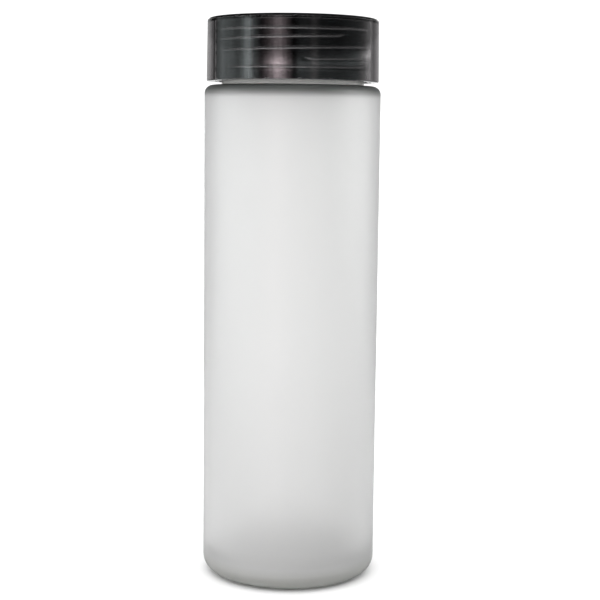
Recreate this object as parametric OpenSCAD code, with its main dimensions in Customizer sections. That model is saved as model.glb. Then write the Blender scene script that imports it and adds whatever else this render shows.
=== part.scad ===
// Frosted glass water bottle with a two-part screw lid.
// Millimetres, +Z up. The origin is the middle of the foot, on the surface the bottle stands on.
// The lid is shown screwed down. Turned anticlockwise, seen from above, it rises by thread_pitch a turn.

/* [Bottle] */
// Outside diameter of the glass body
body_d = 65; // [62:0.5:80]
// Height of the glass from the foot to the lip
bottle_h = 202; // [150:1:260]
// Thickness of the side wall
wall_t = 2.6; // [2:0.1:3.5]
// Thickness of the glass floor at its middle
floor_t = 5; // [4:0.5:8]
// Radius of the heel, where the wall turns into the foot
heel_r = 6; // [4:0.5:9]
// Radius of the shoulder's outer edge
shoulder_r = 3; // [2:0.25:4]
// Thickness of the glass in the shoulder
shoulder_t = 3.5; // [2.5:0.25:4]
// How far the middle of the foot is pushed up
punt_h = 2.5; // [1:0.25:3.5]

/* [Neck and thread] */
// Outside diameter of the neck between its threads
neck_d = 52.4; // [50:0.1:54]
// Height of the neck above the shoulder
neck_h = 19.2; // [19:0.1:24]
// Thickness of the neck wall
neck_t = 3; // [2.5:0.1:4]
// Rise of the single-start thread in one turn
thread_pitch = 4; // [3.5:0.1:4.5]
// Height of the thread ridges
thread_depth = 1.05; // [0.8:0.05:1.1]
// Turns of thread on the glass
glass_turns = 1.5; // [1:0.25:1.75]
// Turns of thread in the lid
lid_turns = 2.1; // [1.5:0.02:2.1]

/* [Lid] */
// Outside diameter of the lid at its lower rim
lid_d = 63.5; // [62:0.1:66]
// How much narrower the lid is at its top than at its rim
lid_draft = 0.6; // [0:0.1:1]
// Air between the lid's lower rim and the shoulder
lid_gap = 1.4; // [1:0.1:3]
// Roof of the clear outer shell
shell_roof = 1.5; // [1:0.1:2]
// Wall of the dark threaded liner
liner_wall = 0.85; // [0.8:0.05:1.2]
// Roof of the dark threaded liner
liner_roof = 1.4; // [1:0.1:2]
// Number of keys that stop the liner turning in the shell
key_count = 16; // [8:1:24]
// Thickness of the sealing ring
gasket_t = 2; // [1.5:0.1:2.5]
// Width of the sealing ring, from its hole to its edge
gasket_w = 4.4; // [4:0.1:4.6]

/* [Hidden] */
$fn = 96;

overlap = 0.2;           // how far a joined feature runs into the wall it stands on
part_gap = 0.15;         // air between the shell and the liner's ribs
seat_gap = 0.03;         // air between the two roofs
seal_gap = 0.1;          // air between the lip and the uncompressed sealing ring
thread_clearance = 0.25; // air between a thread's crest and the wall it faces
segments = 48;           // facets in one turn of a thread
lead_in = 30;            // degrees over which a thread ridge fades out at each end

body_r = body_d / 2;
cavity_r = body_r - wall_t;
shoulder_z = bottle_h - neck_h;
cavity_top = shoulder_z - shoulder_t;
cavity_floor = punt_h + floor_t;
cavity_heel_r = heel_r - 1;
neck_r = neck_d / 2;
mouth_r = neck_r - neck_t;
lip_r = 0.9;
throat_r = 1.5;          // where the underside of the shoulder turns up into the neck
cavity_shoulder_r = 1.2;
foot_r = body_r - heel_r;
foot_w = 3;
punt_r = foot_r - foot_w;
punt_ball_r = (punt_r * punt_r + punt_h * punt_h) / (2 * punt_h);

liner_in_r = neck_r + thread_depth + thread_clearance;
liner_r = liner_in_r + liner_wall;
rib_h = 0.25;            // ribs round the liner centre it in the shell
rib_w = 1.6;
shell_in_r = liner_r + rib_h + part_gap;
lid_r = lid_d / 2;
lid_top_r = lid_r - lid_draft / 2;
gasket_z = bottle_h + seal_gap;
gasket_r = liner_in_r - 0.2;
liner_ceiling = gasket_z + gasket_t;
liner_top = liner_ceiling + liner_roof;
lid_top = liner_top + seat_gap + shell_roof;
lid_z = shoulder_z + lid_gap;
liner_z = lid_z;
shell_edge_r = 1.1;
rim_edge_r = 0.3;
liner_edge_r = 0.15;
rib_crest_w = 0.2;
low_ring_z = lid_z + 4.25;
high_ring_z = liner_ceiling - 2.15;

ridge_root_w = 1.7;
ridge_crest_w = 0.7;
lip_to_thread = 2.35;           // from the lip down to the top end of the glass ridge
glass_thread_z = bottle_h - lip_to_thread - thread_pitch * glass_turns;
lid_thread_start = 275;         // angle of its lower end, from +X
thread_lag = 90;                // the glass ridge begins this much further round
thread_offset = 1.6;            // the glass ridge lies this much above the lid's ridge
lid_thread_z = glass_thread_z - thread_offset - thread_pitch * thread_lag / 360;

key_angle = 4.5;
key_w = 1.4;
key_h = 0.5;
key_depth = 0.6;
key_clearance = 0.12;

// Share of its full height that a ridge has at step i of n. It fades out at both ends.
function ridge_height(i, n) = max(0.04, min(1, min(i, n - i) / (segments * lead_in / 360)));

// The four corners of a ridge's section, turned to an angle and lifted to z
function ridge_section(root, tip, back, root_w, tip_w, angle, z) =
    [for (p = [[back, -root_w], [tip, -tip_w], [tip, tip_w], [back, root_w]])
        [p[0] * cos(angle), p[0] * sin(angle), z + p[1] / 2]];

// A trapezoidal ridge along a right-hand helix. Its crest may be outside or inside of its root,
// and back is the radius that the foot of the ridge is sunk to.
module helical_ridge(root, crest, back, root_w, crest_w, turns, start, z) {
    n = ceil(turns * segments);
    points = [for (i = [0:n]) each ridge_section(root, root + (crest - root) * ridge_height(i, n), back,
        root_w, crest_w, start + 360 * turns * i / n, z + thread_pitch * turns * i / n)];
    sides = [for (i = [0:n - 1], j = [0:3])
        let (a = 4 * i + j, b = 4 * i + (j + 1) % 4) [a, b, b + 4, a + 4]];
    quads = concat([[0, 3, 2, 1]], sides, [[4 * n, 4 * n + 1, 4 * n + 2, 4 * n + 3]]);
    k = crest > back ? [0, 1, 2, 3] : [3, 2, 1, 0];
    polyhedron(points, [for (q = quads) each [[q[k[0]], q[k[1]], q[k[2]]], [q[k[0]], q[k[2]], q[k[3]]]]]);
}

// Half section of a round solid with a rounded lower and upper edge. x is the radius.
module round_edged(r, z0, z1, low_r, high_r) {
    translate([0, z0]) square([r - low_r, low_r]);
    translate([0, z0 + low_r]) square([r, z1 - z0 - low_r - high_r]);
    translate([0, z1 - high_r]) square([r - high_r, high_r]);
    translate([r - low_r, z0 + low_r]) circle(low_r);
    translate([r - high_r, z1 - high_r]) circle(high_r);
}

module glass_outside() {
    round_edged(body_r, 0, shoulder_z, heel_r, shoulder_r);
    translate([0, shoulder_z - overlap]) square([neck_r, neck_h + overlap - lip_r]);
    translate([0, bottle_h - lip_r]) square([neck_r - lip_r, lip_r]);
    translate([neck_r - lip_r, bottle_h - lip_r]) circle(lip_r);
}

module glass_inside() {
    round_edged(cavity_r, cavity_floor, cavity_top, cavity_heel_r, cavity_shoulder_r);
    translate([0, cavity_top - overlap]) square([mouth_r, bottle_h - cavity_top + 1]);
    difference() {
        translate([mouth_r - overlap, cavity_top - overlap])
            square(throat_r + overlap);
        translate([mouth_r + throat_r, cavity_top + throat_r]) circle(throat_r);
    }
}

module glass() {
    color([0.86, 0.88, 0.87]) {
        difference() {
            rotate_extrude() {
                difference() {
                    glass_outside();
                    glass_inside();
                }
            }
            translate([0, 0, punt_h - punt_ball_r]) sphere(punt_ball_r, $fn = 180);
        }
        helical_ridge(neck_r, neck_r + thread_depth, neck_r - overlap, ridge_root_w, ridge_crest_w,
            glass_turns, lid_thread_start + thread_lag, glass_thread_z);
    }
}

// Outline of a key, pointed at the top so that it finds its notch. grow widens it all round into
// the notch, and foot is how far it reaches down.
module key_outline(grow, foot) {
    w = key_w / 2 + grow;
    polygon([[-w, -foot], [w, -foot], [w, key_h / 3], [0, key_h + grow], [-w, key_h / 3]]);
}

// A ring of keys between two radii
module key_ring(r0, r1, grow, foot) {
    for (i = [0:key_count - 1])
        rotate([0, 0, key_angle + 360 / key_count * i])
            translate([r0, 0, lid_z])
                rotate([90, 0, 90])
                    linear_extrude(r1 - r0) key_outline(grow, foot);
}

// Half section of the shell's outside, with its draft and its rounded edges
module shell_outside() {
    polygon([[0, lid_z], [lid_r - rim_edge_r, lid_z], [lid_r - rim_edge_r, lid_z + rim_edge_r],
        [lid_r, lid_z + rim_edge_r], [lid_top_r, lid_top - shell_edge_r],
        [lid_top_r - shell_edge_r, lid_top - shell_edge_r], [lid_top_r - shell_edge_r, lid_top],
        [0, lid_top]]);
    translate([lid_r - rim_edge_r, lid_z + rim_edge_r]) circle(rim_edge_r);
    translate([lid_top_r - shell_edge_r, lid_top - shell_edge_r]) circle(shell_edge_r);
}

module lid_shell() {
    color([0.2, 0.21, 0.22, 0.75]) {
        rotate_extrude() {
            difference() {
                shell_outside();
                translate([0, lid_z - 1]) square([shell_in_r, lid_top - shell_roof - lid_z + 1]);
            }
        }
        key_ring(shell_in_r - key_depth, shell_in_r + overlap, 0, 0);
    }
}

// Section of a rib that runs level round the liner
module ring_rib(z) {
    translate([liner_r, z])
        polygon([[-overlap, -rib_w / 2], [0, -rib_w / 2], [rib_h, -rib_crest_w / 2],
            [rib_h, rib_crest_w / 2], [0, rib_w / 2], [-overlap, rib_w / 2]]);
}

// Half section of the liner without its threads
module liner_section() {
    difference() {
        round_edged(liner_r, liner_z, liner_top, rim_edge_r, liner_edge_r);
        translate([0, liner_z - 1]) square([liner_in_r, liner_ceiling - liner_z + 1]);
    }
    ring_rib(low_ring_z);
    ring_rib(high_ring_z);
}

module lid_liner() {
    color([0.07, 0.08, 0.08]) {
        difference() {
            rotate_extrude() liner_section();
            key_ring(shell_in_r - key_depth - key_clearance, liner_r + 1, key_clearance, 1);
        }
        helical_ridge(liner_r, liner_r + rib_h, liner_r - overlap, rib_w, rib_crest_w,
            lid_turns, lid_thread_start, lid_thread_z);
        helical_ridge(liner_in_r, liner_in_r - thread_depth, liner_in_r + overlap, ridge_root_w,
            ridge_crest_w, lid_turns, lid_thread_start, lid_thread_z);
    }
}

module gasket() {
    color([0.9, 0.9, 0.88])
        translate([0, 0, gasket_z])
            difference() {
                cylinder(h = gasket_t, r = gasket_r);
                translate([0, 0, -1]) cylinder(h = gasket_t + 2, r = gasket_r - gasket_w);
            }
}

glass();
lid_shell();
lid_liner();
gasket();
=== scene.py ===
"""The looks of the frosted glass water bottle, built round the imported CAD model.
Metres, +Z up, and -Y is the front."""

import math

import bmesh
import bpy
from mathutils import Matrix, Vector


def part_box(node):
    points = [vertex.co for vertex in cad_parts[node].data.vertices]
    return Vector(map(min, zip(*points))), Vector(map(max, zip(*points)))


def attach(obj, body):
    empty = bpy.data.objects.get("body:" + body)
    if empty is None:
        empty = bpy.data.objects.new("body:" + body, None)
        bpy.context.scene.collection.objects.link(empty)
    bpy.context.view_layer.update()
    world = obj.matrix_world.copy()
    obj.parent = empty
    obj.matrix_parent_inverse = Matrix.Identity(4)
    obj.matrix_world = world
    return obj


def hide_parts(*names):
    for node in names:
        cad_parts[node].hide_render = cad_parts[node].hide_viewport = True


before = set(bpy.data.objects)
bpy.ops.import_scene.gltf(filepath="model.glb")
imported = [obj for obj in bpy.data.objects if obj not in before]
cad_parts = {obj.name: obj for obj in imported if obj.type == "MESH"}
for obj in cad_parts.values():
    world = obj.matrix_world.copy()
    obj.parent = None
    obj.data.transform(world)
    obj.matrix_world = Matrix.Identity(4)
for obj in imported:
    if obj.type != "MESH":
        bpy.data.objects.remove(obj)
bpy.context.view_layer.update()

# ---------------------------------------------------------------- sizes

MM = 0.001
GLASS_LOW, GLASS_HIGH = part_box("glass")
SHELL_LOW, SHELL_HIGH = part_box("lid_shell")
LINER_LOW, LINER_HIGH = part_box("lid_liner")
GASKET_LOW, GASKET_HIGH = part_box("gasket")

BODY_R = GLASS_HIGH.x
LIP_Z = GLASS_HIGH.z
WALL = 2.6 * MM
HEEL_R = 6 * MM
PUNT_H = 2.5 * MM
PUNT_R = BODY_R - HEEL_R - 3 * MM
FLOOR_Z = PUNT_H + 5 * MM
SHOULDER_R = 3 * MM
SHOULDER_Z = LIP_Z - 19.2 * MM
CAVITY_R = BODY_R - WALL
CAVITY_TOP = SHOULDER_Z - 3.5 * MM
NECK_R = 26.2 * MM
ROOT_R = NECK_R + 1.4 * MM              # where the shoulder begins to turn up into the neck
FROST_EDGE_Z = SHOULDER_Z + 2 * MM      # the frosted surface ends just above the shoulder
MOUTH_R = NECK_R - 3 * MM
LIP_ROUND = 0.9 * MM

PITCH = 4 * MM
RIDGE_H = 1.05 * MM
RIDGE_ROOT = 1.7 * MM
RIDGE_CREST = 0.7 * MM
LEAD_IN = 30 / 360          # of a turn, over which a thread's ridge fades out
RIB_LEAD_IN = 10 / 360      # the same for the helical rib outside the liner
LID_TURNS = 2.1
LID_THREAD_START = 275 / 360
GLASS_TURNS = 1.5
GLASS_THREAD_START = LID_THREAD_START + 90 / 360
GLASS_THREAD_Z = LIP_Z - 2.35 * MM - PITCH * GLASS_TURNS
LID_THREAD_Z = GLASS_THREAD_Z - 1.6 * MM - PITCH * 90 / 360

LID_R = SHELL_HIGH.x
LID_Z = SHELL_LOW.z
LID_TOP = SHELL_HIGH.z
LID_DRAFT = 0.3 * MM        # how far the lid's side leans in over its height
SHELL_ROOF = 1.5 * MM
RIB_H = 0.25 * MM
RIB_CREST = -0.65 * MM      # a rib is highest below its middle, and its upper flank is long and easy
RIB_FLANK = 1.25 * MM
RIB_STEP = 0.25 * MM        # the flank ends at the top in a small steep step
RIB_UNDER = 0.1 * MM
LOW_RIB_Z = LID_Z + 4.25 * MM
HIGH_RIB_Z = GASKET_HIGH.z - 2.15 * MM
LINER_R = LINER_HIGH.x - RIB_H
LINER_Z = LINER_LOW.z
LINER_TOP = LINER_HIGH.z
LINER_WALL = 0.85 * MM
SHELL_IN_R = LINER_HIGH.x + 0.15 * MM

KEYS = 16                   # small points at the shell's rim, each in a notch of the liner
KEY_TURN = 4.5 / 360
KEY_W = 1.4 * MM
KEY_H = 0.5 * MM
KEY_D = 0.6 * MM
KEY_SLACK = 0.12 * MM


# ---------------------------------------------------------------- shapes

def smooth_step(low, high, x):
    t = min(1.0, max(0.0, (x - low) / (high - low)))
    return t * t * (3 - 2 * t)


def helix_offsets(turn, z, start, z0, turns, lead_in):
    """Height above each turn of a helix that passes here, and how far it has faded in, 0 to 1"""
    first = (turn - start) % 1.0
    for k in range(math.ceil(turns)):
        along = first + k
        if along <= turns:
            yield z - z0 - PITCH * along, smooth_step(0, lead_in, min(along, turns - along))


def ridge(turn, z, start, z0, turns):
    """Share of full height, 0 to 1, of a thread's ridge at one place. turn is counted from +X."""
    return max([fade * (1 - smooth_step(RIDGE_CREST / 2, RIDGE_ROOT / 2, abs(off)))
                for off, fade in helix_offsets(turn, z, start, z0, turns, LEAD_IN)], default=0)


def rib(off):
    """Share of full height, 0 to 1, of a liner's rib, at a height above its middle"""
    d = off - RIB_CREST
    if d <= 0:
        return 1 - smooth_step(0, RIB_UNDER, -d)
    flank = 1 - 0.6 * min(1.0, d / RIB_FLANK) ** 2
    return flank * (1 - smooth_step(RIB_FLANK, RIB_FLANK + RIB_STEP, d))


def ribs(turn, z):
    """Share of full height, 0 to 1, of the ribs round the liner"""
    helical = [fade * rib(off) for off, fade in helix_offsets(
        turn, z, LID_THREAD_START, LID_THREAD_Z, LID_TURNS, RIB_LEAD_IN)]
    return max(helical + [rib(z - LOW_RIB_Z), rib(z - HIGH_RIB_Z)])


def key_height(turn, radius, slack):
    """Height to which a key, or its notch, reaches above the shell's rim. It is below 0 between them."""
    off = ((turn - KEY_TURN) * KEYS + 0.5) % 1.0 - 0.5
    across = abs(off) / KEYS * 2 * math.pi * radius
    half = KEY_W / 2 + slack
    pointed = KEY_H + slack - (KEY_H * 2 / 3 + slack) * min(1.0, across / half)
    return pointed - (pointed + 0.5 * MM) * smooth_step(half - 0.1 * MM, half + 0.1 * MM, across)


def key_profile(turn, z, radius):
    """1 inside a key and 0 outside it"""
    top = LID_Z + key_height(turn, radius, 0)
    return 1 - smooth_step(top - 0.1 * MM, top + 0.1 * MM, z)


def rounded_path(corners, degrees=9):
    """Points along straight lines between corners, each (radius, height, rounding). The ends stay sharp."""
    points = []
    for i, (x, z, rounding) in enumerate(corners):
        here = Vector((x, z))
        if rounding == 0 or i in (0, len(corners) - 1):
            points.append(here)
            continue
        before = (Vector(corners[i - 1][:2]) - here).normalized()
        after = (Vector(corners[i + 1][:2]) - here).normalized()
        half = before.angle(after) / 2
        centre = here + (before + after).normalized() * rounding / math.sin(half)
        a = here + before * rounding / math.tan(half) - centre
        b = here + after * rounding / math.tan(half) - centre
        sweep = a.angle_signed(b)
        steps = max(2, math.ceil(abs(math.degrees(sweep)) / degrees))
        for k in range(steps + 1):
            points.append(centre + Matrix.Rotation(-sweep * k / steps, 2) @ a)
    return [tuple(p) for p in points]


def rows(z0, z1, step):
    """Heights from z0 to z1, about a step apart."""
    n = max(1, math.ceil(abs(z1 - z0) / step))
    return [z0 + (z1 - z0) * i / n for i in range(n + 1)]


def value(x, turn):
    return x(turn) if callable(x) else x


def lathe(name, rings, steps, materials, normal_at):
    """A closed round solid. rings go once round its half section, and each is (radius, height, material
    number of the band that follows it). A radius or height may be a function of the turn. A ring of
    radius 0 at both ends closes the solid on its axis. Normals are weighted by area, so that flat faces
    stay flat, and normal_at may refine one at its place."""
    bm = bmesh.new()
    made = []
    for radius, height, _ in rings:
        if radius == 0:
            made.append([bm.verts.new((0, 0, height))] * steps)
            continue
        ring = []
        for s in range(steps):
            turn = s / steps
            r, a = value(radius, turn), 2 * math.pi * turn
            ring.append(bm.verts.new((r * math.cos(a), r * math.sin(a), value(height, turn))))
        made.append(ring)
    on_axis = rings[0][0] == 0
    for i in range(len(rings) - (1 if on_axis else 0)):
        low, high = made[i], made[(i + 1) % len(made)]
        for s in range(steps):
            t = (s + 1) % steps
            corners = list(dict.fromkeys([low[s], low[t], high[t], high[s]]))
            if len(corners) > 2:
                face = bm.faces.new(corners)
                face.material_index = rings[i][2]
                face.smooth = True
    bmesh.ops.recalc_face_normals(bm, faces=bm.faces)
    mesh = bpy.data.meshes.new(name)
    bm.to_mesh(mesh)
    bm.free()
    for material in materials:
        mesh.materials.append(material)
    sums = [Vector() for _ in mesh.vertices]
    for face in mesh.polygons:
        for v in face.vertices:
            sums[v] += face.normal * face.area
    mesh.normals_split_custom_set_from_vertices(
        [normal_at(vertex.co, total.normalized()) for vertex, total in zip(mesh.vertices, sums)])
    piece = bpy.data.objects.new(name, mesh)
    bpy.context.scene.collection.objects.link(piece)
    return piece


# ---------------------------------------------------------------- materials

def new_material(name):
    material = bpy.data.materials.new(name)
    material.use_nodes = True
    nodes = material.node_tree.nodes
    return material, nodes, material.node_tree.links, nodes["Principled BSDF"]


def set_inputs(node, **values):
    for key, v in values.items():
        node.inputs[key.replace("_", " ")].default_value = v


def add_noise(nodes, links, scale, detail=3, stretch=(1, 1, 1)):
    """Noise that is fixed to the piece, in its own coordinates"""
    place = nodes.new("ShaderNodeTexCoord")
    mapping = nodes.new("ShaderNodeMapping")
    mapping.inputs["Scale"].default_value = stretch
    noise = nodes.new("ShaderNodeTexNoise")
    set_inputs(noise, Scale=scale, Detail=detail)
    links.new(place.outputs["Object"], mapping.inputs["Vector"])
    links.new(mapping.outputs["Vector"], noise.inputs["Vector"])
    return noise.outputs["Fac"]


def spread(nodes, links, source, low, high, target):
    """Drives target with source, spread from low to high."""
    mapped = nodes.new("ShaderNodeMapRange")
    set_inputs(mapped, From_Min=0.3, From_Max=0.7, To_Min=low, To_Max=high)
    links.new(source, mapped.inputs["Value"])
    links.new(mapped.outputs["Result"], target)


def add_bump(nodes, links, source, bsdf, distance, strength):
    bump = nodes.new("ShaderNodeBump")
    set_inputs(bump, Strength=strength, Distance=distance)
    links.new(source, bump.inputs["Height"])
    links.new(bump.outputs["Normal"], bsdf.inputs["Normal"])


def add_absorption(nodes, links, color, density):
    absorb = nodes.new("ShaderNodeVolumeAbsorption")
    set_inputs(absorb, Color=color, Density=density)
    links.new(absorb.outputs["Volume"], nodes["Material Output"].inputs["Volume"])


def add_ramp(nodes, links, source, stops, interpolation):
    """A colour ramp over source. Each stop is (position, colour or grey)."""
    node = nodes.new("ShaderNodeValToRGB")
    node.color_ramp.interpolation = interpolation
    elements = node.color_ramp.elements
    elements[0].position, elements[1].position = stops[0][0], stops[-1][0]
    for stop, _ in stops[1:-1]:
        elements.new(stop)
    for element, (_, color) in zip(elements, stops):
        element.color = (*color, 1) if isinstance(color, tuple) else (color, color, color, 1)
    links.new(source, node.inputs["Fac"])
    return node.outputs["Color"]


def frost_at(height, shade):
    """Stop of a ramp up the bottle, at a height in millimetres"""
    return height * MM / FROST_TOP, shade


# Base colour up the frosted glass, as stops of a ramp by height. Its changes are painted shade over the pale
# frost: a nearly black painted band along the shoulder that stands in for the lid's shadow and its dark image
# seen through the glass, a painted soft darkening just below it, a gentle painted darkening down the body,
# and painted shade darkening towards the thick heel.
FROST_TOP = 0.19
FROST_AND_PAINTED_SHADE = [
    frost_at(0, (0.38, 0.39, 0.36)), frost_at(3, (0.49, 0.495, 0.47)), frost_at(6, (0.73, 0.73, 0.715)),
    frost_at(8, 0.82), frost_at(14, 0.86), frost_at(24, 0.88), frost_at(53, 0.89), frost_at(89, 0.93),
    frost_at(120, 0.96), frost_at(150, 0.955), frost_at(168, 0.92), frost_at(176, 0.89),
    frost_at(178.3, 0.85), frost_at(179.1, 0.66), frost_at(179.8, 0.31),
    frost_at(180.5, (0.15, 0.162, 0.154)), frost_at(181.2, (0.07, 0.077, 0.073)),
    frost_at(182.8, (0.045, 0.05, 0.047)),
]
NECK_SHADE = (0.9, 0.89, 0.86)
NECK_FROST = [frost_at(0, NECK_SHADE), frost_at(190, NECK_SHADE)]
GLASS_TINT = (0.60, 0.68, 0.63, 1)
GLASS_DENSITY = 0.3


def frosted_glass(name, frost_and_painted_shade):
    material, nodes, links, bsdf = new_material(name)
    set_inputs(bsdf, Transmission_Weight=0.72, IOR=1.52, Roughness=0.5)
    place = nodes.new("ShaderNodeTexCoord")
    parts = nodes.new("ShaderNodeSeparateXYZ")
    height = nodes.new("ShaderNodeMapRange")
    set_inputs(height, From_Min=0, From_Max=FROST_TOP)
    links.new(place.outputs["Object"], parts.inputs["Vector"])
    links.new(parts.outputs["Z"], height.inputs["Value"])
    # For the body, this height ramp paints shade into the base colour: the lid's shadow along the shoulder
    # and a darker heel.
    links.new(add_ramp(nodes, links, height.outputs["Result"], frost_and_painted_shade, "LINEAR"), bsdf.inputs["Base Color"])
    spread(nodes, links, add_noise(nodes, links, 60, 4), 0.46, 0.54, bsdf.inputs["Roughness"])
    add_bump(nodes, links, add_noise(nodes, links, 2600, 2), bsdf, 0.02 * MM, 0.25)
    add_absorption(nodes, links, GLASS_TINT, GLASS_DENSITY)
    return material


def clear_glass():
    material, nodes, links, bsdf = new_material("clear glass")
    set_inputs(bsdf, Base_Color=(0.97, 0.97, 0.96, 1), Transmission_Weight=1.0, IOR=1.52, Roughness=0.02)
    spread(nodes, links, add_noise(nodes, links, 90, 2), 0.01, 0.04, bsdf.inputs["Roughness"])
    add_bump(nodes, links, add_noise(nodes, links, 70, 2, (1, 1, 0.4)), bsdf, 0.05 * MM, 0.4)
    add_absorption(nodes, links, GLASS_TINT, GLASS_DENSITY)
    return material


def smoke_plastic():
    material, nodes, links, bsdf = new_material("smoke plastic")
    set_inputs(bsdf, Base_Color=(1, 1, 1, 1), Transmission_Weight=1.0, IOR=1.57, Roughness=0.01)
    spread(nodes, links, add_noise(nodes, links, 120, 2), 0.005, 0.02, bsdf.inputs["Roughness"])
    add_absorption(nodes, links, (0.31, 0.285, 0.30, 1), 190)
    return material


def dark_plastic():
    material, nodes, links, bsdf = new_material("dark plastic")
    set_inputs(bsdf, Base_Color=(0.002, 0.003, 0.003, 1), IOR=2.2, Roughness=0.04)
    spread(nodes, links, add_noise(nodes, links, 300, 3, (1, 1, 0.1)), 0.025, 0.05, bsdf.inputs["Roughness"])
    return material


def silicone():
    material, nodes, links, bsdf = new_material("silicone")
    set_inputs(bsdf, Base_Color=(0.78, 0.78, 0.75, 1), IOR=1.42, Roughness=0.5,
               Subsurface_Weight=0.4, Subsurface_Scale=1.5 * MM)
    spread(nodes, links, add_noise(nodes, links, 400, 3), 0.42, 0.6, bsdf.inputs["Roughness"])
    add_bump(nodes, links, add_noise(nodes, links, 1500, 2), bsdf, 0.02 * MM, 0.4)
    return material


# ---------------------------------------------------------------- pieces

def glass_rings():
    """Half section of the glass, from under the foot round the outside to the lip and down the inside"""
    ball = (PUNT_R ** 2 + PUNT_H ** 2) / (2 * PUNT_H)
    punt = [(r, PUNT_H - ball + math.sqrt(ball ** 2 - r ** 2)) for r in rows(0, PUNT_R - 1 * MM, 2 * MM)]
    outside = rounded_path([(*punt[-1], 0), (PUNT_R, 0, 0.6 * MM), (BODY_R, 0, HEEL_R),
                            *[(BODY_R, z, 0) for z in rows(CAVITY_TOP - 4 * MM, CAVITY_TOP, 1 * MM)],
                            (BODY_R, SHOULDER_Z, SHOULDER_R), (ROOT_R, SHOULDER_Z, 0)])
    neck_root = rounded_path([(ROOT_R, SHOULDER_Z, 0), (NECK_R, SHOULDER_Z, 0.7 * MM),
                              (NECK_R, SHOULDER_Z + 1 * MM, 0)])[:-1]
    lip = rounded_path([(NECK_R, LIP_Z - 1 * MM, 0), (NECK_R, LIP_Z, LIP_ROUND), (MOUTH_R, LIP_Z, LIP_ROUND),
                        (MOUTH_R, CAVITY_TOP, 1.5 * MM), (CAVITY_R, CAVITY_TOP, 1.2 * MM),
                        (CAVITY_R, FLOOR_Z, HEEL_R - 1 * MM), (0, FLOOR_Z, 0)])
    neck = []
    for z in rows(SHOULDER_Z + 1.1 * MM, LIP_Z - 1.1 * MM, 0.15 * MM):
        neck.append((lambda turn, z=z: NECK_R + RIDGE_H * ridge(
            turn, z, GLASS_THREAD_START, GLASS_THREAD_Z, GLASS_TURNS), z))
    frosted = punt[:-1] + outside[:-1]
    frosted_neck = neck_root + [p for p in neck if p[1] < FROST_EDGE_Z]
    clear = [p for p in neck if p[1] >= FROST_EDGE_Z] + lip
    return [(*p, 0) for p in frosted] + [(*p, 2) for p in frosted_neck] + [(*p, 1) for p in clear]


def shell_rings():
    """From the middle of the top down the outside, round the rim and up the inside to the roof"""
    top_r = LID_R - LID_DRAFT
    ceiling = LID_TOP - SHELL_ROOF
    outside = rounded_path([(0, LID_TOP, 0), (top_r, LID_TOP, 1.1 * MM), (LID_R, LID_Z, 0.3 * MM),
                            (SHELL_IN_R + 0.2 * MM, LID_Z, 0)])
    inside = []
    for z in rows(LID_Z + 0.05 * MM, LID_Z + KEY_H + 0.2 * MM, 0.08 * MM):
        inside.append((lambda turn, z=z: SHELL_IN_R - KEY_D * key_profile(turn, z, SHELL_IN_R), z))
    roof = rounded_path([(SHELL_IN_R, ceiling - 3 * MM, 0), (SHELL_IN_R, ceiling, 0.1 * MM), (0, ceiling, 0)])
    return [(*p, 0) for p in outside + inside + roof]


def liner_rings():
    """From the middle of the top down the outside, round the rim and up the inside to the ceiling"""
    inner_r = LINER_R - LINER_WALL
    ceiling = GASKET_HIGH.z
    above_ribs = HIGH_RIB_Z + RIB_CREST + RIB_FLANK + RIB_STEP + 0.1 * MM
    above_keys = LID_Z + KEY_H + 0.4 * MM

    def rim(turn):
        return max(LINER_Z, LID_Z + key_height(turn, LINER_R, KEY_SLACK))

    def above_rim(distance):
        return lambda turn: rim(turn) + distance

    top = rounded_path([(0, LINER_TOP, 0), (LINER_R, LINER_TOP, 0.15 * MM), (LINER_R, above_ribs, 0)])
    outside = []
    for z in rows(above_ribs - 0.05 * MM, LOW_RIB_Z + RIB_CREST - RIB_UNDER - 0.1 * MM, 0.1 * MM):
        outside.append((lambda turn, z=z: LINER_R + RIB_H * ribs(turn, z), z))
    outside.append((LINER_R, above_keys))
    edge = [(LINER_R, above_rim(0.25 * MM)), (LINER_R - 0.07 * MM, above_rim(0.07 * MM)),
            (LINER_R - 0.25 * MM, rim), (inner_r + 0.1 * MM, rim), (inner_r, above_rim(0.1 * MM))]
    inside = [(inner_r, above_keys)]
    for z in rows(LID_THREAD_Z - 1.4 * MM, LID_THREAD_Z + PITCH * LID_TURNS + 1.4 * MM, 0.18 * MM):
        inside.append((lambda turn, z=z: inner_r - RIDGE_H * ridge(
            turn, z, LID_THREAD_START, LID_THREAD_Z, LID_TURNS), z))
    roof = rounded_path([(inner_r, ceiling - 1 * MM, 0), (inner_r, ceiling, 0.3 * MM), (0, ceiling, 0)])
    return [(*p, 0) for p in top + outside + edge + inside + roof]


def liner_normal(place, normal):
    """The normal on a rib's upper flank comes from its slope, and its lower step is too small to show."""
    radius = math.hypot(place.x, place.y)
    if radius < LINER_R - 0.01 * MM or not LOW_RIB_Z - 2 * MM < place.z < HIGH_RIB_Z + 1.5 * MM:
        return normal
    turn, reach = math.atan2(place.y, place.x) / (2 * math.pi) % 1.0, 0.03 * MM
    slope = (ribs(turn, place.z + reach) - ribs(turn, place.z - reach)) * RIB_H / (2 * reach)
    return Vector((place.x / radius, place.y / radius, max(0.0, -slope))).normalized()


def gasket_rings():
    """Once round the section, from the middle of the ring's hole"""
    outer = GASKET_HIGH.x
    inner = outer - 4.4 * MM
    low, high = GASKET_LOW.z, GASKET_HIGH.z
    middle = (low + high) / 2
    half = rounded_path([(inner, middle, 0), (inner, low, 0.5 * MM), (outer, low, 0.5 * MM),
                         (outer, high, 0.3 * MM), (inner, high, 0.3 * MM), (inner, middle, 0)])
    return [(*p, 0) for p in half[:-1]]


def add_piece(name, rings, steps, materials, body, node, normal_at=lambda place, normal: normal):
    piece = lathe(name, rings, steps, materials, normal_at)
    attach(piece, body)
    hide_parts(node)
    return piece


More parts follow.
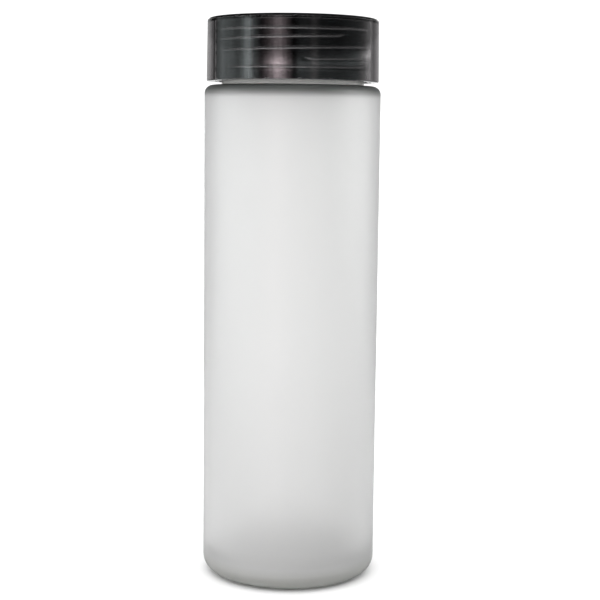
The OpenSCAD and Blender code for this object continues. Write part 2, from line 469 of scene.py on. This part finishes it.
glasses = [frosted_glass("frosted glass", FROST_AND_PAINTED_SHADE), clear_glass(), frosted_glass("frosted neck", NECK_FROST)]
bottle = add_piece("frosted_bottle", glass_rings(), 240, glasses, "bottle", "glass")
add_piece("clear_lid_shell", shell_rings(), 480, [smoke_plastic()], "lid", "lid_shell")
add_piece("threaded_liner", liner_rings(), 480, [dark_plastic()], "lid", "lid_liner",
          liner_normal)
add_piece("sealing_ring", gasket_rings(), 192, [silicone()], "seal", "gasket")


# ---------------------------------------------------------------- floor, light and camera

def add_floor():
    """A pale disc, just under the foot. The diffuse light it would throw on the bottle is left out."""
    bpy.ops.mesh.primitive_circle_add(vertices=96, radius=0.45, fill_type="NGON", location=(0, 0, -0.2 * MM))
    floor = bpy.context.object
    floor.name = "floor"
    material, nodes, links, bsdf = new_material("pale floor")
    set_inputs(bsdf, Base_Color=(0.9, 0.9, 0.9, 1), Roughness=0.7)
    floor.data.materials.append(material)
    floor.visible_diffuse = False
    return floor


def at(degrees):
    """Place on an azimuth ramp of a direction, in degrees to the right of the front"""
    return 0.5 + degrees / 360


def up(degrees):
    """Place on a height ramp of a direction, in degrees above the horizon"""
    return 0.5 + math.sin(math.radians(degrees)) / 2


def near(degrees):
    """Place on a fine height ramp, which covers only directions close to the horizon"""
    return 0.5 + math.sin(math.radians(degrees)) / math.sin(math.radians(FINE)) / 2


def pink(x):
    return x, 0.86 * x, 0.89 * x


def teal(x):
    return 0.9 * x, x, x


FINE = 14       # degrees above and below the horizon that a fine height ramp covers

# The strips of light between the screens, all the way round, and how bright they are by height
STRIPS = [
    (at(-180), 0.42), (at(-155), 0.34), (at(-143), 0.17), (at(-139), 0.04), (at(-131), 0.02),
    (at(-125), 0.08), (at(-117), teal(0.34)), (at(-92), teal(0.30)), (at(-83), teal(0.19)),
    (at(-76), teal(0.27)), (at(-70), teal(0.58)), (at(-65), teal(0.95)), (at(-61), teal(0.78)),
    (at(-56), teal(0.22)),
    (at(-44), 0.03), (at(-36), pink(0.13)), (at(-29), pink(0.30)), (at(-23), pink(0.60)),
    (at(-17), pink(0.62)), (at(-12), pink(0.34)), (at(-6), pink(0.11)), (at(0), 0.014),
    (at(12), teal(0.055)), (at(20), teal(0.06)), (at(29), 0.11), (at(38), teal(0.04)),
    (at(60), teal(0.035)), (at(98), teal(0.075)), (at(117), 0.15), (at(129), 0.38),
    (at(135), 0.10), (at(180), 0.45),
]
STRIP_HEIGHT = [
    (near(-12), 1.7), (near(1.85), 1.7), (near(2.2), 1.0), (near(6.5), 1.0), (near(8.5), 3.0),
    (near(13), 3.0),
]

# A low, bright glow in front, which adds to the strips
GLOW = [
    (at(-62), 0.0), (at(-45), pink(0.3)), (at(-36), pink(1.2)), (at(-30), pink(2.7)), (at(-24), pink(5.0)),
    (at(-18), pink(4.5)), (at(-12), pink(2.0)), (at(-6), pink(1.0)), (at(2), 0.1), (at(10), teal(0.55)),
    (at(21), teal(0.5)), (at(31), 0.8), (at(42), teal(0.45)), (at(75), teal(0.35)), (at(102), teal(0.4)),
    (at(116), 0.8), (at(126), 1.4), (at(131), 1.6), (at(136), 0.0),
]
GLOW_HEIGHT = [
    (near(-12), 0.28), (near(1.1), 0.28), (near(1.25), 0.15), (near(1.38), 0.14), (near(1.48), 0.8),
    (near(1.55), 1.0), (near(1.68), 1.0), (near(1.83), 0.5), (near(1.99), 0.12), (near(2.12), 0.0),
]

# The share of screens at each height, and the room beyond them
SCREEN_HEIGHT = [(up(-14), 0.0), (up(-8), 1.0), (up(9), 1.0), (up(13), 0.0)]
ROOM_AROUND = [
    (at(-180), 0.12), (at(-130), 0.15), (at(-100), 0.5), (at(-65), 0.95), (at(-24), 1.3), (at(12), 0.9),
    (at(45), 0.5), (at(90), 0.35), (at(115), 0.6), (at(130), 0.3), (at(145), 0.12), (at(180), 0.12),
]
ROOM_HEIGHT = [
    (up(-60), 0.2), (up(-14), 0.3), (up(8), 1.0), (up(12), 1.6), (up(19), 1.6), (up(23), 0.35), (up(70), 0.2),
]


def add_world():
    """A studio that is plain white to the camera. Dark screens stand round it near the horizon, with soft
    strips of light between them, and the room above and below them is dim at the back."""
    world = bpy.data.worlds.new("studio")
    bpy.context.scene.world = world
    world.use_nodes = True
    nodes, links = world.node_tree.nodes, world.node_tree.links
    background = nodes["Background"]
    place = nodes.new("ShaderNodeTexCoord")
    parts = nodes.new("ShaderNodeSeparateXYZ")
    links.new(place.outputs["Generated"], parts.inputs["Vector"])

    def math_node(operation, a, b=None):
        node = nodes.new("ShaderNodeMath")
        node.operation = operation
        for k, x in enumerate((a, b)):
            if isinstance(x, (int, float)):
                node.inputs[k].default_value = x
            elif x is not None:
                links.new(x, node.inputs[k])
        return node.outputs[0]

    def ramp(source, stops):
        return add_ramp(nodes, links, source, stops, "EASE")

    def mix(blend, share, a, b):
        node = nodes.new("ShaderNodeMixRGB")
        node.blend_type = blend
        for socket, x in zip(("Fac", "Color1", "Color2"), (share, a, b)):
            if isinstance(x, (int, float, tuple)):
                node.inputs[socket].default_value = x
            else:
                links.new(x, node.inputs[socket])
        return node.outputs["Color"]

    azimuth = math_node("ARCTAN2", parts.outputs["X"], math_node("MULTIPLY", parts.outputs["Y"], -1))
    azimuth = math_node("ADD", math_node("DIVIDE", azimuth, 2 * math.pi), 0.5)
    height = math_node("ADD", math_node("MULTIPLY", parts.outputs["Z"], 0.5), 0.5)
    fine = nodes.new("ShaderNodeMapRange")
    set_inputs(fine, From_Min=-math.sin(math.radians(FINE)), From_Max=math.sin(math.radians(FINE)))
    links.new(parts.outputs["Z"], fine.inputs["Value"])
    screens = mix("MULTIPLY", 1.0, ramp(azimuth, STRIPS), ramp(fine.outputs["Result"], STRIP_HEIGHT))
    glow = mix("MULTIPLY", 1.0, ramp(azimuth, GLOW), ramp(fine.outputs["Result"], GLOW_HEIGHT))
    screens = mix("ADD", 1.0, screens, glow)
    room = mix("MULTIPLY", 1.0, ramp(azimuth, ROOM_AROUND), ramp(height, ROOM_HEIGHT))
    seen_light = mix("MIX", ramp(height, SCREEN_HEIGHT), room, screens)
    direct = nodes.new("ShaderNodeLightPath").outputs["Is Camera Ray"]
    links.new(mix("MIX", direct, seen_light, (1, 1, 1, 1)), background.inputs["Color"])
    background.inputs["Strength"].default_value = 1.2


def add_light(name, kind, power, receiver):
    """A lamp that lights one object and that the camera doesn't see"""
    light = bpy.data.lights.new(name, kind)
    light.energy = power
    lamp = bpy.data.objects.new(name, light)
    lamp.visible_camera = False
    bpy.context.scene.collection.objects.link(lamp)
    lamp.light_linking.receiver_collection = bpy.data.collections.new(name + " receivers")
    lamp.light_linking.receiver_collection.objects.link(receiver)
    return lamp, light


def add_sun(name, power, receiver, softness=120):
    light = add_light(name, "SUN", power, receiver)[1]
    light.angle = math.radians(softness)


def add_soft_box(name, power, receiver, place, aim, size, cone=180, gloss=True):
    """A lamp that lights surfaces from outside and doesn't glow through the glass"""
    lamp, light = add_light(name, "AREA", power, receiver)
    light.spread = math.radians(cone)
    light.shape = "RECTANGLE"
    light.size, light.size_y = size
    lamp.location = place
    lamp.rotation_euler = (Vector(aim) - Vector(place)).to_track_quat("-Z", "Y").to_euler()
    lamp.visible_glossy = gloss
    lamp.visible_transmission = False


def add_camera():
    data = bpy.data.cameras.new("camera")
    data.sensor_width = 36
    data.lens = 85.1
    data.clip_start, data.clip_end = 0.01, 20
    camera = bpy.data.objects.new("camera", data)
    bpy.context.scene.collection.objects.link(camera)
    turn_right, look_down, roll = map(math.radians, (0.384, 6.89, 0.628))
    aim = Matrix.Rotation(-turn_right, 4, "Z") @ Matrix.Rotation(math.pi / 2 - look_down, 4, "X")
    camera.matrix_world = (Matrix.Translation((0, -529.8 * MM, 167.2 * MM)) @ aim
                           @ Matrix.Rotation(roll, 4, "Z"))
    bpy.context.scene.camera = camera


floor = add_floor()
add_world()
add_sun("floor light", 4.4, floor)
add_sun("bottle top light", 1.3, bottle)
front = {"place": (-0.12, -0.6, 0.22), "aim": (0, 0, 0.1), "size": (0.8, 0.5)}
add_soft_box("bottle front light", 2.9, bottle, **front, gloss=False)
add_soft_box("bottle front sheen", 2.0, bottle, **front)
for side, power in (-0.5, 0.3), (0.5, 0.5):
    add_soft_box("bottle side light", power, bottle, (side, -0.05, 0.3), (0, -0.05, 0.24), (0.4, 0.4),
                 cone=60)
add_soft_box("bottle rear light", 2.6, bottle, (-0.1, 0.6, 0.25), (0, 0, 0.1), (0.9, 0.5), gloss=False)
add_camera()
bpy.context.scene.view_settings.view_transform = "Standard"
